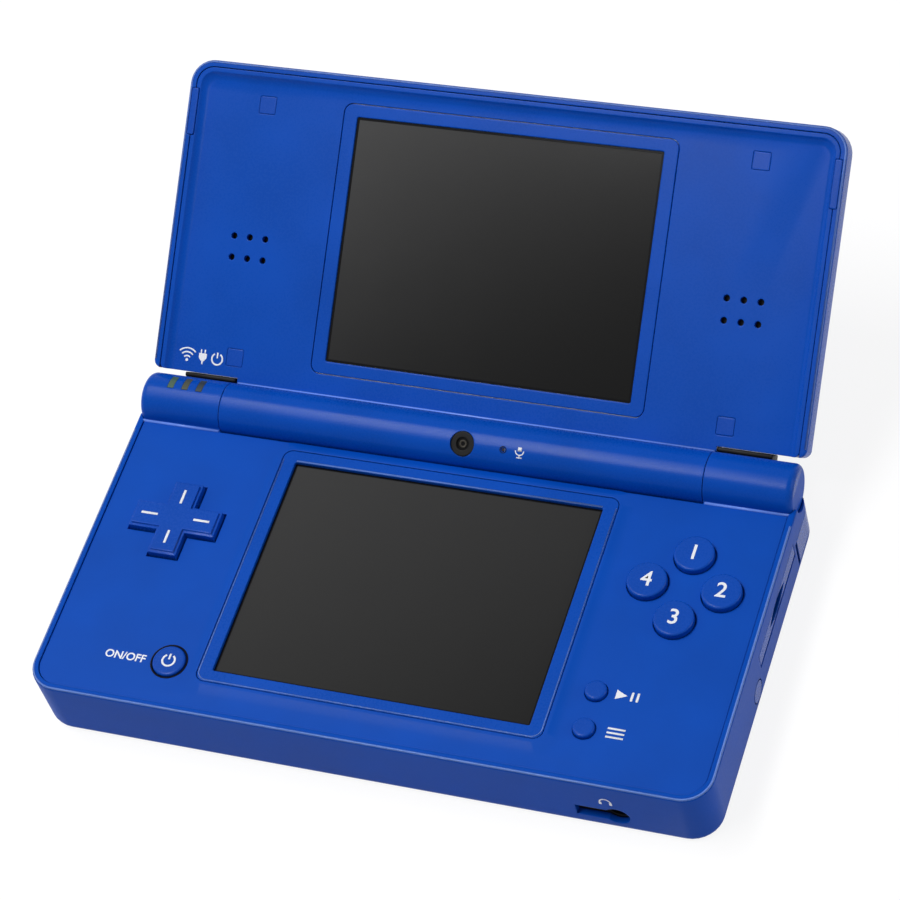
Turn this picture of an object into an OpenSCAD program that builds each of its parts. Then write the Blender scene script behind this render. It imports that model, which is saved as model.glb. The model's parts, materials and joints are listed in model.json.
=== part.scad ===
// Clamshell handheld game console: a low base with keys and a touch screen,
// and a thin lid with a second screen, joined by a barrel hinge at the back.
// Origin: centre of the underside. +X to the user's right, +Y to the hinge, +Z up.
// The lid is drawn lying closed, with the hinge axis as its own origin, and then swung open.

/* [Body] */
// Overall width of the base
body_w = 137; // [134:1:146]
// Closed depth, from the front wall to the back of the hinge barrel
body_d = 74.5; // [73:0.5:82]
// Height of the base at its rim
base_h = 15; // [14.6:0.1:16.5]
// Corner radius of the base, seen from above
corner_r = 6; // [4:0.5:7]
// Side walls of both shells
wall = 1.3; // [1.1:0.1:1.5]
// Floor of the base
floor_t = 1.8; // [1.6:0.1:1.9]
// Thickness of the face plates
plate_t = 1.4; // [1.2:0.1:1.5]
// Softness of the base's lower edge
foot_r = 1.6; // [1:0.2:1.8]
// Softness of the outer rims
rim_r = 0.5; // [0.3:0.1:0.8]
// Joint line between pieces that are fixed together
seam = 0.15; // [0.1:0.05:0.2]
// Gap round pieces that move
play = 0.3; // [0.25:0.05:0.35]

/* [Hinge] */
// Outer radius of the hinge barrel
hinge_r = 5.3; // [5:0.1:5.5]
// Length of each knuckle
knuckle_w = 17.4; // [15:0.1:19]
// How far the knuckle ends stand back from the side walls
knuckle_step = 0.7; // [0.5:0.1:1.2]
// Rounding of the knuckle ends
knuckle_soft = 1.3; // [0.8:0.1:1.6]
// Opening angle of the lid as it stands
lid_open = 145; // [120:1:155]
// Radius of the hinge cartridge
cartridge_r = 2.6; // [2.2:0.1:3]
// Radius of its shaft, and of the shaft's running fit
shaft_r = 1.5; // [1.2:0.1:1.8]
// Running clearance of the hinge shafts
run_fit = 0.05; // [0.03:0.01:0.08]

/* [Lid] */
// Thickness of the lid
lid_t = 5.7; // [5.5:0.1:7]
// Gap between the closed rims
lid_gap = 0.3; // [0.2:0.1:0.5]
// Depth of the lid's face below its rim
lid_recess = 1.7; // [1.6:0.1:1.9]
// How much narrower the lid is than the base, each side
lid_step = 0.3; // [0:0.1:0.6]
// Corner radius of the lid's free edge
lid_corner_r = 5; // [4:0.5:6]
// Softness of the lid's outer edge
lid_edge_r = 1.5; // [1:0.1:1.6]
// Distance from the hinge axis to the lid's lower corners
lid_heel = 6.3; // [6.1:0.1:7]

/* [Screens] */
// Width of the glass that shows
window_w = 64; // [60:0.5:66]
// Height of the glass that shows
window_d = 49; // [46:0.5:50]
// Width of the frames round the glass
frame_b = 2.8; // [2.2:0.1:3]
// Centre of the lower screen, from the front wall
lower_y = 34.25; // [33.5:0.25:35]
// Centre of the upper screen, from the hinge axis
upper_v = 36.6; // [36:0.2:38]
// Height of the lower screen's raised surround
plateau_h = 0.9; // [0.6:0.1:1]
// Width of the surround's sloping flank
flank_w = 2.1; // [1.5:0.1:2.3]
// Depth of the lower glass below its frame
glass_sink = 0.7; // [0.4:0.1:0.8]

/* [Keys] */
// Centre of the direction pad, from the front wall
pad_y = 41.5; // [40:0.25:43]
// Width and depth of the direction pad, as shares of the panel beside the screen
pad_w_share = 0.54; // [0.5:0.01:0.56]
pad_d_share = 0.5; // [0.48:0.01:0.54]
// Width of its arms, as a share of that panel
pad_arm_share = 0.178; // [0.16:0.002:0.19]
// Height of the pad above the face
pad_h = 1.7; // [1.2:0.1:1.8]
// Centre of the four face buttons, from the front wall
keys_y = 44.3; // [42:0.25:46]
// Distance of each face button from that centre, as a share of the panel
keys_share = 0.2166; // [0.2:0.002:0.225]
// Radius of a face button, as a share of the panel
key_r_share = 0.1157; // [0.1:0.001:0.118]
// Height of a face button
key_h = 1.4; // [1:0.1:1.6]
// Radius and height of the two small buttons
mini_r = 2.1; // [1.8:0.1:2.4]
mini_h = 0.9; // [0.6:0.1:1.2]
// Small buttons, from the screen's frame and from the front wall
mini_gap = 7.1; // [6:0.1:8]
mini_low_y = 11.4; // [10.6:0.2:12]
mini_high_y = 19.5; // [18.6:0.2:20.4]
// Power button: radius, and its place from the screen's frame and the front wall
power_r = 3.3; // [3:0.1:3.4]
power_gap = 6.7; // [6.4:0.1:8]
power_y = 10.5; // [10:0.1:11]
// Press of the buttons
key_travel = 0.6; // [0.4:0.1:0.7]

/* [Sides] */
// Audio socket: distance from the right side, height, and bore of the plug
jack_inset = 18.5; // [18:0.25:20]
jack_z = 5; // [4.7:0.1:5.2]
jack_bore_r = 1.8; // [1.75:0.05:1.85]
// Memory card slot: width, thickness and depth of its card bay
memory_w = 24.6; // [24:0.1:25]
memory_t = 2.2; // [2.1:0.1:2.3]
memory_len = 30; // [28:0.5:31]
// Memory card slot: centre, from the front wall
memory_y = 47.3; // [47.2:0.1:47.6]
// Game card slot: width, height and depth of its bay
card_w = 34; // [32:0.5:36]
card_h = 4.4; // [4.2:0.05:4.45]
card_len = 30; // [28:0.5:31]
// Stylus: length, radius, and distance of its hole from the front wall
stylus_len = 90; // [80:1:92]
stylus_r = 2.2; // [2:0.1:2.3]
stylus_y = 31; // [30.8:0.1:31.1]
// Shoulder buttons: reach along the side
shoulder_d = 12; // [11:0.2:12.4]
// Volume buttons: length, height and distance apart
volume_w = 7; // [6:0.2:8]
volume_h = 2.6; // [2:0.1:3]
volume_pitch = 9; // [8.6:0.2:10]
// Volume buttons: distance from the front wall
volume_y = 40; // [38:0.5:42]

/* [Inside] */
// Main board: thickness and height of its underside
board_t = 0.8; // [0.7:0.1:1]
board_z = 7; // [6.95:0.05:7.1]
// Battery thickness
battery_t = 4.8; // [4:0.1:4.9]
// Battery cover: width and depth
door_w = 63; // [62:0.5:66]
door_d = 25; // [24.5:0.1:25.2]

/* [Hidden] */
$fn = 48;

// Colours
shell_blue = [0.12, 0.29, 0.65];
deep_blue = [0.10, 0.24, 0.56];
glass_grey = [0.16, 0.16, 0.17];
board_green = [0.08, 0.33, 0.20];
metal = [0.70, 0.71, 0.73];
dark = [0.07, 0.07, 0.08];
rubber_grey = [0.45, 0.46, 0.48];

// Planes of the base
front_y = -body_d / 2;
hinge_y = body_d / 2 - hinge_r;
hinge_z = base_h;
back_step = 0.5;
back_y = body_d / 2 - back_step;
plan_d = back_y - front_y;
plan_y = (back_y + front_y) / 2;
side_x = body_w / 2;
face_z = base_h - 0.3;
face_under = face_z - plate_t;
eps = 0.05;

// Hinge
trough_r = hinge_r + play + eps;
trough_t = 1;
deck_top = hinge_z - trough_r;
deck_under = deck_top - trough_t;
knuckle_end = side_x - knuckle_step;
knuckle_x = knuckle_end - knuckle_w;
barrel_w = 2 * (knuckle_x - seam);
sleeve_r = 2.4;
ribbon_r = 0.9;
plug_len = 10;
plug_in = knuckle_w - 5.4;
barrel_bore_r = hinge_r - 1.1;

// Lid, in its own frame: -Y runs to the free edge, +Z to the outside
lid_w = body_w - 2 * lid_step;
lid_len = hinge_y - front_y;
lid_rim = lid_gap;
lid_top = lid_rim + lid_t;
lid_floor = lid_rim + lid_recess;
lid_plate_top = lid_floor + 1.2;
lid_skin = lid_top - 1.1;
lid_inner_x = lid_w / 2 - wall;

// Screens
frame_w = window_w + 2 * frame_b;
frame_d = window_d + 2 * (frame_b - 0.3);
frame_r = 1.8;
screen_y = front_y + lower_y;
panel_w = side_x - frame_w / 2;
panel_x = frame_w / 2 + panel_w / 2;
plateau_top = face_z + plateau_h;
display_top = face_z - plateau_h + eps;
display_t = 3;

// Key heights
flange_t = 1;
flange_top = face_under - eps;
flange_low = flange_top - flange_t;
board_top = board_z + board_t;
dome_top = flange_low - key_travel - 0.15;

// Keys
pad_w = panel_w * pad_w_share;
pad_d = panel_w * pad_d_share;
pad_arm = panel_w * pad_arm_share;
keys_pitch = panel_w * keys_share;
key_r = panel_w * key_r_share;
pad_at = [-panel_x + 0.15, front_y + pad_y];
keys_at = [panel_x + 0.45, front_y + keys_y];
start_at = [frame_w / 2 + mini_gap, front_y + mini_high_y];
select_at = [frame_w / 2 + mini_gap, front_y + mini_low_y];
power_at = [-frame_w / 2 - power_gap, front_y + power_y];
key_offsets = [[0, keys_pitch], [keys_pitch, 0], [0, -keys_pitch], [-keys_pitch, 0]];
pad_ball_r = 1.1;
pad_pivot_z = face_under - 2.4;

// Sides
jack_at = [side_x - jack_inset, front_y];
headset_w = 8;
jack_side = 3.2;
jack_len = 14;
stylus_at_y = front_y + stylus_y;
stylus_z = floor_t + stylus_r + 0.35;
memory_at_y = front_y + memory_y;
memory_floor_z = board_top + 0.1;
memory_low_z = memory_floor_z - 0.4;
memory_roof_z = memory_floor_z + memory_t + 0.4;
cover_low = memory_floor_z - 0.75;
cover_pin_z = cover_low + 0.65;
cover_top = memory_floor_z + memory_t + 0.7;
cover_w = memory_w + 0.8;
cover_pin_r = 0.4;
card_z = floor_t + 0.3;
inlet_x = -side_x + 35.5;
shoulder_w = knuckle_w + knuckle_step - 0.1;
shoulder_z = floor_t + 0.5;
shoulder_h = hinge_z - hinge_r - shoulder_z - 0.9;
shoulder_t = 1.6;
shoulder_pin_r = 0.7;
shoulder_sweep = 1;
shoulder_pin_at = [side_x - shoulder_w + 1.6, back_y - 1.9];
strap_x = side_x - 27.5;
volume_z = face_under - 3.1;

// Screws and posts
screw_head_r = 1.8;
screw_r = 0.9;
boss_r = 2.5;
boss_split_z = floor_t + 1.8;
base_screw_at = [[-side_x + 7.5, front_y + 7.5], [side_x - 7.5, front_y + 7.5],
                 [-side_x + 23.5, hinge_y - 4.5], [side_x - 23.5, hinge_y - 4.5]];
door_y = front_y + 3 + door_d / 2;
door_t = 0.95;
battery_w = door_w - 13;
battery_d = door_d - 3;
door_screw_x = door_w / 2 - 3;
post_at = [[-30, 15], [30, 15], [-side_x + 12.5, -14], [side_x - 12.5, -14]];

// Lid fittings
plug_size = 3.5;
plug_x = panel_x - 0.25;
plug_high = lid_len - 7.8;
plug_low = 10.3;
lid_screw_r = 0.7;
speaker_x = panel_x - 0.05;
speaker_w = 14;
speaker_d = 18;
speaker_v = 32.5;
bumper_len = 9.4;
bumper_w = 1.4;
bumper_v = lid_len - 10.7;
camera_x = 1.5;
camera_r = 2.4;
mic_x = 10;
outer_camera_at = [lid_inner_x - 6.4, lid_len - 11.5];
outer_lens_r = 2.6;

// Rounded rectangle, centred
module rounded(w, d, r) {
  square([w - 2 * r, d], center = true);
  square([w, d - 2 * r], center = true);
  for (sx = [-1, 1], sy = [-1, 1])
    translate([sx * (w / 2 - r), sy * (d / 2 - r)]) circle(r);
}

// Flat slab with rounded corners, between two heights
module slab(w, d, r, low, high) {
  translate([0, 0, low]) linear_extrude(high - low) rounded(w, d, r);
}

// Ring cut from a slab: an outer and an inner rounded rectangle
module ring_slab(w, d, r, inner_w, inner_d, inner_r, low, high) {
  translate([0, 0, low]) linear_extrude(high - low) difference() {
    rounded(w, d, r);
    rounded(inner_w, inner_d, inner_r);
  }
}

// Cylinder along X between two places
module rod_x(r, from, to, y, z) {
  translate([from, y, z]) rotate([0, 90, 0]) cylinder(r = r, h = to - from);
}

// Block between two corners
module block(low, high) {
  translate(low) cube(high - low);
}

// Thin slice of a rounded rectangle with its own radius front and back, for soft edges
module soft_slice(w, y0, y1, r0, r1, inset, z) {
  for (s = [-1, 1]) {
    translate([s * (w / 2 - r0), y0 + r0, z]) cylinder(r = r0 - inset, h = 0.01, $fn = 32);
    translate([s * (w / 2 - r1), y1 - r1, z]) cylinder(r = r1 - inset, h = 0.01, $fn = 32);
  }
}

// Slab with rounded lower and upper edges
module soft_slab(w, y0, y1, r0, r1, low, high, low_r, high_r) {
  hull() {
    for (a = [0, 30, 60, 90]) {
      soft_slice(w, y0, y1, r0, r1, low_r * (1 - sin(a)), low + low_r * (1 - cos(a)));
      soft_slice(w, y0, y1, r0, r1, high_r * (1 - sin(a)), high - 0.01 - high_r * (1 - cos(a)));
    }
  }
}

// Button turned from a profile: a cap with a soft edge and a retaining flange
module turned_button(r, top, flange_r) {
  soft = 0.45;
  rotate_extrude() {
    square([r - soft, top - flange_low]);
    square([r, top - flange_low - soft]);
    translate([r - soft, top - flange_low - soft]) intersection() {
      circle(soft);
      square(soft);
    }
    square([flange_r, flange_t]);
  }
}

// Base shell: the tray that forms the floor, the walls and the thin outer rim
module shell_openings() {
  // Seats of the knuckles in the walls, and the low wall behind the barrel
  for (s = [-1, 1]) scale([s, 1, 1]) {
    rod_x(hinge_r + seam, knuckle_x - 2, knuckle_x + 1, hinge_y, hinge_z);
    knuckle(seam);
    rod_x(hinge_r - knuckle_soft, knuckle_end - 1, side_x + 2, hinge_y, hinge_z);
  }
  block([-knuckle_x - seam, hinge_y, deck_under - eps], [knuckle_x + seam, back_y + 1, base_h + 1]);
  // Game card slot and power inlet, in the back wall
  block([-card_w / 2, back_y - 3, card_z], [card_w / 2, back_y + 1, card_z + card_h]);
  block([inlet_x - 4.3, back_y - 3, floor_t + 0.5], [inlet_x + 4.3, back_y + 1, floor_t + 4.1]);
  // Strap pocket, in the back wall
  block([strap_x - 3, back_y - 3, floor_t + 0.4], [strap_x + 3, back_y + 1, floor_t + 4.4]);
  // Memory card opening and stylus hole, in the right wall
  block([side_x - wall - 1, memory_at_y - cover_w / 2 - seam, cover_low - seam],
        [side_x + 1, memory_at_y + cover_w / 2 + seam, cover_top + seam]);
  rod_x(stylus_r + play, side_x - wall - 1, side_x + 1, stylus_at_y, stylus_z);
  // Audio opening in the front wall: a round socket with a flat one beside it
  translate([jack_at[0], front_y - 1, jack_z]) rotate([-90, 0, 0]) cylinder(r = 2.5, h = wall + 2);
  block([jack_at[0] - headset_w, front_y - 1, jack_z - 1.65], [jack_at[0], front_y + wall + 1, jack_z + 1.65]);
  // Shoulder buttons, round the back corners
  for (s = [-1, 1]) scale([s, 1, 1])
    block([side_x - shoulder_w - seam, back_y - shoulder_d - shoulder_sweep, shoulder_z - seam],
          [side_x + 1, back_y + 1, shoulder_z + shoulder_h + seam]);
  // Volume buttons, in the left wall
  for (s = [-1, 1])
    block([-side_x - 1, front_y + volume_y + s * volume_pitch / 2 - volume_w / 2 - 0.2, volume_z - volume_h / 2 - 0.2],
          [-side_x + wall + 1, front_y + volume_y + s * volume_pitch / 2 + volume_w / 2 + 0.2,
           volume_z + volume_h / 2 + 0.2]);
  // Battery opening with a ledge for its cover
  translate([0, door_y, 0]) slab(door_w - 11, door_d - 2, 1, -1, floor_t + 1);
  translate([0, door_y, 0]) slab(door_w + 2 * seam, door_d + 2 * seam, 1.5 + seam, -1, door_t + eps);
}

module base_shell() {
  color(shell_blue) difference() {
    union() {
      difference() {
        soft_slab(body_w, front_y, back_y, corner_r, corner_r, 0, base_h, foot_r, rim_r);
        translate([0, plan_y, 0])
          slab(body_w - 2 * wall, plan_d - 2 * wall, corner_r - wall, floor_t, base_h + 1);
        shell_openings();
      }
      // Short bosses for the case screws, posts for the board, bosses for the cover screws
      for (p = base_screw_at) translate(p) cylinder(r = boss_r, h = boss_split_z);
      for (p = post_at) translate([p[0], p[1], floor_t - eps]) cylinder(r = 1.8, h = board_z - floor_t);
      for (s = [-1, 1])
        translate([s * door_screw_x, door_y, door_t + eps]) cylinder(r = 2, h = 4);
      // Floors under the shoulder buttons' pins
      for (s = [-1, 1])
        translate([s * shoulder_pin_at[0], shoulder_pin_at[1], floor_t - eps])
          cylinder(r = 1.3, h = shoulder_z - floor_t - eps);
    }
    for (p = base_screw_at) translate(p) {
      translate([0, 0, -1]) cylinder(r = screw_head_r + 0.1, h = 2.2);
      cylinder(r = screw_r + 0.1, h = 8);
    }
    for (s = [-1, 1]) translate([s * door_screw_x, door_y, -1]) cylinder(r = screw_r - 0.2 + eps, h = 5.5);
  }
}

// Base face: the plate with the keys' openings, the surround of the screen,
// the knuckles of the hinge and the trough under the barrel
module knuckle(grow = 0) {
  core = hinge_r - knuckle_soft;
  length = knuckle_end - knuckle_x - knuckle_soft;
  translate([knuckle_x, hinge_y, hinge_z]) rotate([0, 90, 0]) rotate_extrude() {
    square([core, length + knuckle_soft + grow]);
    square([hinge_r + grow, length]);
    translate([core, length]) intersection() {
      circle(knuckle_soft + grow);
      square(knuckle_soft + grow);
    }
  }
}

module trough_profile() {
  difference() {
    translate([hinge_y, hinge_z]) circle(trough_r + trough_t);
    translate([hinge_y - trough_r - 3, face_under + eps]) square([2 * trough_r + 6, 20]);
    translate([hinge_y, deck_top]) square([trough_r + 3, 20]);
  }
  translate([hinge_y, deck_under]) square([back_y - seam - hinge_y, trough_t]);
}

// Room for the barrel, open to the top and the back
module trough_room() {
  translate([hinge_y, hinge_z]) circle(trough_r);
  translate([hinge_y, deck_top]) square([trough_r + 3, base_h]);
  translate([hinge_y - trough_r, hinge_z]) square([trough_r + 1, base_h]);
}

module pad_outline(w, d, arm) {
  square([w, arm], center = true);
  square([arm, d], center = true);
}

module light_cut(grow) {
  // Three bands round the top of the left knuckle
  for (i = [0:2])
    translate([-side_x + 6.1 + i * 3.1 - grow / 2, hinge_y, hinge_z]) rotate([0, 90, 0])
      linear_extrude(1.3 + grow) intersection() {
        difference() {
          circle(hinge_r + 1);
          circle(hinge_r - 1 - grow / 2);
        }
        polygon([[0, 0], [-12, 12 * tan(33 + 8 * grow)], [-12, -12 * tan(4 + 8 * grow)]]);
      }
}

module base_face() {
  outer_w = body_w - 2 * (wall + seam);
  color(shell_blue) difference() {
    union() {
      // Plate
      translate([0, (front_y + wall + seam + hinge_y) / 2, 0])
        slab(outer_w, hinge_y - front_y - wall - seam, corner_r - wall - seam, face_under, face_z);
      block([-outer_w / 2, 0, face_under], [outer_w / 2, hinge_y, face_z]);
      // Raised surround of the screen, with sloping flanks
      hull() {
        translate([0, screen_y, 0]) {
          slab(frame_w + 1.8, frame_d + 1.8, frame_r + 0.9, face_z, plateau_top, $fn = 32);
          slab(frame_w + 1.8 + 2 * flank_w, frame_d + 1.8 + 2 * flank_w, frame_r + 2.4,
               face_z - 0.2, face_z - 0.1, $fn = 32);
        }
      }
      knuckle();
      mirror([1, 0, 0]) knuckle();
      translate([-knuckle_x, 0, 0]) rotate([90, 0, 90]) linear_extrude(2 * knuckle_x) trough_profile();
      // Ribs that close the trough's ends
      for (s = [-1, 1]) scale([s, 1, 1])
        block([knuckle_x - 0.5, hinge_y - 6, deck_under], [knuckle_x + 0.9, hinge_y + 0.6, face_z - 0.2]);
      // Bosses that meet those of the shell
      for (p = base_screw_at)
        translate([p[0], p[1], boss_split_z + eps]) cylinder(r = boss_r, h = face_z - boss_split_z - 0.5);
    }
    translate([-knuckle_x, 0, 0]) rotate([90, 0, 90]) linear_extrude(2 * knuckle_x) trough_room();
    // Opening of the screen
    translate([0, screen_y, 0]) slab(frame_w + 2 * seam, frame_d + 2 * seam, frame_r + seam, 0, base_h + 5);
    // Openings of the keys
    translate([pad_at[0], pad_at[1], 0]) linear_extrude(base_h + 5)
      pad_outline(pad_w + 0.8, pad_d + 0.8, pad_arm + 0.8);
    for (o = key_offsets) translate([keys_at[0] + o[0], keys_at[1] + o[1], 0])
      cylinder(r = key_r + 0.2, h = base_h + 5);
    for (p = [start_at, select_at]) translate([p[0], p[1], 0]) cylinder(r = mini_r + 0.15, h = base_h + 5);
    translate([power_at[0], power_at[1], 0]) cylinder(r = power_r + 0.2, h = base_h + 5);
    // Bores of the hinge, and of the screws
    rod_x(cartridge_r + 0.02, 0, knuckle_x + plug_in + 0.2, hinge_y, hinge_z);
    rod_x(sleeve_r + 0.02, -knuckle_x - plug_in - 0.2, 0, hinge_y, hinge_z);
    for (p = base_screw_at) translate([p[0], p[1], 0]) cylinder(r = screw_r, h = 9);
    light_cut(0.1);
  }
}

// Frame round the lower glass
module lower_frame() {
  color(shell_blue) translate([0, screen_y, 0])
    ring_slab(frame_w, frame_d, frame_r, window_w, window_d, 0.4, display_top + eps, plateau_top);
}

module touch_glass() {
  color(glass_grey) translate([0, screen_y, 0])
    slab(window_w - 0.1, window_d - 0.1, 0.35, display_top + eps, plateau_top - glass_sink);
}

module lower_display() {
  color(metal) translate([0, screen_y, 0])
    slab(frame_w - 0.2, frame_d - 0.2, frame_r, display_top - display_t, display_top);
}

// Main board, with notches for the screw bosses
module main_board() {
  color(board_green) difference() {
    block([-side_x + 4, front_y + 4, board_z + eps], [side_x - 4, hinge_y - 8.5, board_top]);
    for (p = base_screw_at) translate([p[0], p[1], 0]) cylinder(r = boss_r + 0.4, h = base_h);
    block([side_x - wall - memory_len - 1.5, memory_at_y - memory_w / 2 - 1.1, 0],
          [side_x, memory_at_y + memory_w / 2 + 1.1, base_h]);
    block([jack_at[0] - headset_w - 0.8, front_y, 0],
          [jack_at[0] + jack_side + 0.4, front_y + wall + jack_len + 0.5, base_h]);
  }
}

module shield_can() {
  color(metal) translate([-6, screen_y + 4, 0])
    slab(frame_w * 0.575, frame_d / 2 + 1, 1, board_top + eps, board_top + 1.4);
}

module battery() {
  color(rubber_grey) translate([0, door_y, 0])
    slab(battery_w, battery_d, 1.5, door_t + 0.3, door_t + 0.3 + battery_t);
}

module battery_cover() {
  color(shell_blue) translate([0, door_y, 0]) difference() {
    slab(door_w, door_d, 1.5, 0, door_t);
    for (s = [-1, 1]) translate([s * door_screw_x, 0, -1]) {
      cylinder(r = 1.5, h = 1.6);
      cylinder(r = 0.8, h = 4);
    }
  }
}

module cover_screws() {
  color(metal) for (s = [-1, 1]) translate([s * door_screw_x, door_y, 0]) difference() {
    union() {
      translate([0, 0, 0.1]) cylinder(r = 1.4, h = 0.45);
      translate([0, 0, 0.3]) cylinder(r = screw_r - 0.2, h = 3.6);
    }
    for (a = [0, 90]) rotate([0, 0, a]) translate([-0.8, -0.15, 0]) cube([1.6, 0.3, 0.3]);
  }
}

module base_screws() {
  color(metal) for (p = base_screw_at) translate(p) difference() {
    union() {
      translate([0, 0, 0.2]) cylinder(r = screw_head_r, h = 0.95);
      translate([0, 0, 1]) cylinder(r = screw_r - 0.02, h = 7);
    }
    for (a = [0, 90]) rotate([0, 0, a]) translate([-1.1, -0.2, 0]) cube([2.2, 0.4, 0.6]);
  }
}

// Game card bay: two rails and a roof over the shell's floor
module card_socket() {
  bay_y = back_y - wall - eps;
  color(dark) difference() {
    block([-card_w / 2 - 1.6, bay_y - card_len - 1.5, floor_t + eps], [card_w / 2 + 1.6, bay_y, board_z - eps]);
    block([-card_w / 2, bay_y - card_len, card_z], [card_w / 2, bay_y + 1, card_z + card_h]);
  }
  // Contact springs at the inner end
  color(metal) for (i = [-7:7])
    block([i * 2 - 0.4, bay_y - card_len - 0.1, card_z + 0.8], [i * 2 + 0.4, bay_y - card_len + 2.4, card_z + 1.3]);
}

// Memory card bay, let into the board's right edge
module memory_socket() {
  bay_x = side_x - wall - eps;
  color(metal) difference() {
    block([bay_x - memory_len - 1, memory_at_y - memory_w / 2 - 0.7, memory_low_z],
          [bay_x, memory_at_y + memory_w / 2 + 0.7, memory_roof_z]);
    block([bay_x - memory_len, memory_at_y - memory_w / 2, memory_floor_z],
          [bay_x + 1, memory_at_y + memory_w / 2, memory_floor_z + memory_t]);
  }
}

module audio_socket() {
  y0 = front_y + wall + eps;
  color(dark) difference() {
    block([jack_at[0] - headset_w - 0.4, y0, floor_t + eps], [jack_at[0] + jack_side, y0 + jack_len, board_top]);
    translate([jack_at[0], y0 - 1, jack_z]) rotate([-90, 0, 0]) cylinder(r = jack_bore_r, h = jack_len - 1);
    block([jack_at[0] - headset_w + 0.4, y0 - 1, jack_z - 1.2], [jack_at[0] - 2.6, y0 + 6, jack_z + 1.2]);
  }
}

module power_inlet() {
  y1 = back_y - wall - eps;
  color(dark) difference() {
    block([inlet_x - 4.9, y1 - 7, floor_t + eps], [inlet_x + 4.9, y1, floor_t + 4.7]);
    block([inlet_x - 4.1, y1 - 6, floor_t + 0.7], [inlet_x + 4.1, y1 + 1, floor_t + 3.9]);
  }
  color(metal) block([inlet_x - 2.6, y1 - 6.1, floor_t + 2], [inlet_x + 2.6, y1 - 0.6, floor_t + 2.6]);
}

// Pin that the wrist strap loops round
module strap_pin() {
  color(metal) translate([strap_x, back_y - wall - 0.9, floor_t + eps])
    cylinder(r = 0.8, h = board_z - floor_t - 2 * eps);
}

module stylus_sleeve() {
  x0 = side_x - stylus_len - 1.2;
  color(dark) difference() {
    block([x0, stylus_at_y - stylus_r - 0.9, floor_t + eps],
          [side_x - wall - eps, stylus_at_y + stylus_r + 0.9, min(board_z - eps, stylus_z + stylus_r + 0.6)]);
    rod_x(stylus_r + 0.08, x0 + 1, side_x, stylus_at_y, stylus_z);
  }
}

// Rubber domes under the keys
module pad_membrane() {
  color(rubber_grey) translate([pad_at[0], pad_at[1], board_top + eps]) {
    difference() {
      linear_extrude(0.6) rounded(pad_w + 1.8, pad_d + 2.2, 1.5);
      translate([0, 0, -1]) cylinder(r = 2, h = 3);
    }
    for (p = [[pad_w, 0], [-pad_w, 0], [0, pad_d], [0, -pad_d]] * 0.345)
      translate([p[0], p[1], 0]) cylinder(r = 1.9, h = pad_pivot_z - board_top - 0.1);
  }
}

// Post that carries the pad's centre ball
module pad_post() {
  color(dark) translate([pad_at[0], pad_at[1], board_top + eps])
    cylinder(r = 1, h = pad_pivot_z - pad_ball_r - board_top - 2 * eps);
}

module key_membrane() {
  color(rubber_grey) translate([keys_at[0], keys_at[1], 0]) {
    base_z = memory_roof_z + eps;
    for (o = key_offsets) translate([o[0], o[1], base_z]) cylinder(r = 2.6, h = dome_top - base_z);
    translate([0, 0, base_z]) linear_extrude(0.3) rounded(2 * keys_pitch + 5.4, 2 * keys_pitch + 5.4, 3);
  }
}

module mini_membranes() {
  color(rubber_grey) for (p = [start_at, select_at, power_at])
    translate([p[0], p[1], board_top + eps]) {
      linear_extrude(0.5) rounded(5.6, 5.6, 1);
      cylinder(r = 1.4, h = dome_top - board_top);
    }
}

module status_lights() {
  color([0.45, 0.5, 0.3]) intersection() {
    light_cut(0);
    rod_x(hinge_r, -side_x, -knuckle_x, hinge_y, hinge_z);
  }
}

// Hinge cartridge in the right knuckle, with its shaft in the barrel
module hinge_cartridge() {
  color(metal) {
    rod_x(cartridge_r, knuckle_x + 0.1, knuckle_x + plug_in, hinge_y, hinge_z);
    rod_x(shaft_r, knuckle_x - plug_len + 1, knuckle_x + 1, hinge_y, hinge_z);
  }
}

// Hollow pivot on the left, for the lid's ribbon
module hinge_sleeve() {
  color(metal) difference() {
    rod_x(sleeve_r, -knuckle_x - plug_in, -knuckle_x + plug_len - 1, hinge_y, hinge_z);
    rod_x(ribbon_r + 0.35, -knuckle_x - plug_in - 1, -knuckle_x + plug_len, hinge_y, hinge_z);
  }
}

module shoulder_pins() {
  color(metal) for (s = [-1, 1])
    translate([s * shoulder_pin_at[0], shoulder_pin_at[1], shoulder_z - eps])
      cylinder(r = shoulder_pin_r, h = shoulder_h);
}

// Tactile switches behind the shoulder and volume buttons
module side_switches() {
  color(dark) {
    for (s = [-1, 1])
      translate([s * (side_x - 8), back_y - 7.3, 0])
        slab(6, 3, 0.3, floor_t + eps, shoulder_z + 4);
    for (s = [-1, 1])
      block([-side_x + wall + 1.6, front_y + volume_y + s * volume_pitch / 2 - 2, board_top + eps],
            [-side_x + wall + 3.4, front_y + volume_y + s * volume_pitch / 2 + 2, volume_z + 1.4]);
  }
}

// Direction pad on its centre ball
module pad_ball() {
  color(dark) translate([pad_at[0], pad_at[1], pad_pivot_z]) sphere(pad_ball_r);
}

module direction_pad() {
  soft = 0.5;
  low = pad_pivot_z + 0.9;
  color(deep_blue) translate([pad_at[0], pad_at[1], 0]) difference() {
    union() {
      translate([0, 0, low]) linear_extrude(face_z + pad_h - soft - low) pad_outline(pad_w, pad_d, pad_arm);
      translate([0, 0, low]) linear_extrude(face_z + pad_h - low)
        pad_outline(pad_w - 2 * soft, pad_d - 2 * soft, pad_arm - 2 * soft);
      translate([0, 0, low]) linear_extrude(0.6) pad_outline(pad_w + 2.4, pad_d + 2.4, pad_arm + 2.4);
      translate([0, 0, pad_pivot_z - 0.2]) cylinder(r = 1.8, h = 2);
    }
    translate([0, 0, pad_pivot_z]) sphere(pad_ball_r + 0.1);
    translate([0, 0, pad_pivot_z - 2]) cylinder(r = pad_ball_r + 0.1, h = 2);
  }
}

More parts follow.
